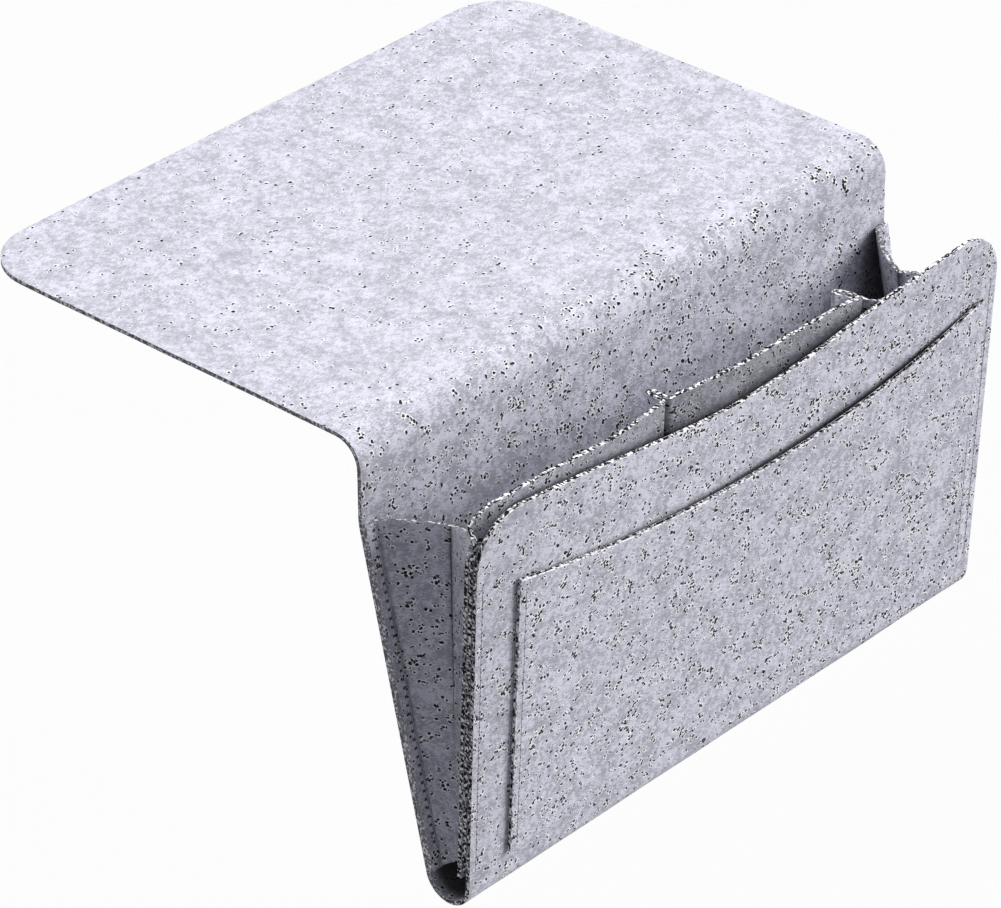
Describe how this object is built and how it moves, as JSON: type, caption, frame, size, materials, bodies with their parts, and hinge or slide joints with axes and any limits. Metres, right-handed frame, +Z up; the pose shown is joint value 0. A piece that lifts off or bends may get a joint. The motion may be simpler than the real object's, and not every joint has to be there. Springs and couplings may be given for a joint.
{
  "type": "bedside caddy",
  "caption": "Sewn felt bedside caddy: a flap that tucks under a mattress, a back and a hanging gusseted pocket with pleated inner pockets and a flat outer pocket.",
  "frame": {"origin": "middle of the flat flap's underside, where the bed base carries the caddy", "axes": "+X across the caddy to the right seen from the front, +Y towards the bed, +Z up"},
  "size_m": [0.32, 0.2816, 0.199],
  "materials": {
    "felt": "heathered light grey pressed felt, matt",
    "thread": "matching grey sewing thread"
  },
  "bodies": {
    "flap": {"flap": "felt", "shoulder_bend": "felt"},
    "back": {"back_panel": "felt", "bottom_bend": "felt", "left_gusset": "felt", "right_gusset": "felt", "left_back_seam_outer_thread": "thread", "left_back_seam_inner_thread": "thread", "right_back_seam_outer_thread": "thread", "right_back_seam_inner_thread": "thread"},
    "front": {"front_panel": "felt", "inner_pocket": "felt", "outer_pocket": "felt", "left_front_seam_outer_thread": "thread", "left_front_seam_inner_thread": "thread", "right_front_seam_outer_thread": "thread", "right_front_seam_inner_thread": "thread", "pocket_seam_thread": "thread", "pocket_left_reverse_thread": "thread", "pocket_right_reverse_thread": "thread", "hem_left_thread": "thread", "hem_middle_thread": "thread", "hem_right_thread": "thread"}
  },
  "joints": [
    {"name": "shoulder_fold", "type": "hinge", "parent": "flap", "child": "back", "pos_m": [0, -0.103, -0.011], "axis": [1, 0, 0], "range_deg": [-80, 100], "stiffness_Nm_per_rad": 0.4, "deforming": ["shoulder_bend"]},
    {"name": "front_swing", "type": "hinge", "parent": "back", "child": "front", "pos_m": [0, -0.15684, -0.1852], "axis": [1, 0, 0], "range_deg": [-11, 5], "stiffness_Nm_per_rad": 0.6, "deforming": ["bottom_bend", "left_gusset", "right_gusset"]}
  ]
}
